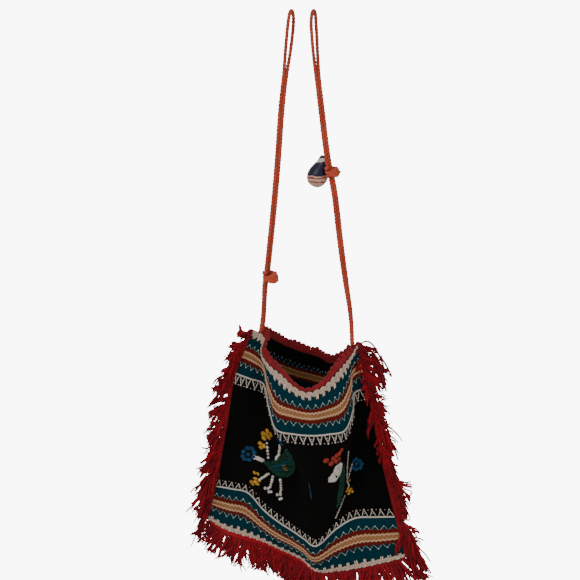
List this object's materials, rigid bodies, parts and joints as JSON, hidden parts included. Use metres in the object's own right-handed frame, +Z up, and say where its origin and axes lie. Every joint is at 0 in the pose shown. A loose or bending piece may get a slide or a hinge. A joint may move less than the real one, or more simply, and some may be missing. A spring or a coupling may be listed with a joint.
{
  "type": "embroidered shoulder bag",
  "caption": "Small square folk shoulder bag of black felted wool with woven bands, embroidered birds, scalloped mouth and red fringe, hanging open from doubled knotted cords",
  "frame": {"origin": "The hook that both cord loops hang on, midway between the two loops", "axes": "+Z up, +Y from the embroidered front to the back, +X to the viewer's right"},
  "size_m": [0.3236, 0.1543, 0.7962],
  "materials": {
    "felt": "felted wool, black with teal, dark red and beige bands",
    "red_yarn": "loose spun red wool",
    "pale_yarn": "dusty pale crochet yarn",
    "cord_yarn": "twisted orange-red cord",
    "painted": "glossy painted dark blue and cream"
  },
  "bodies": {
    "root": {"front_panel": "felt", "back_panel": "felt", "front_edging": "red_yarn", "back_edging": "red_yarn", "front_mouth_trim": "pale_yarn", "back_mouth_trim": "pale_yarn", "front_hem_trim": "pale_yarn", "back_hem_trim": "pale_yarn", "fringe_left": "red_yarn", "fringe_right": "red_yarn", "fringe_bottom_left": "red_yarn", "fringe_bottom_right": "red_yarn", "cord_left": "cord_yarn", "cord_right": "cord_yarn", "knot_left": "cord_yarn", "knot_right": "cord_yarn", "charm": "painted"}
  },
  "joints": []
}
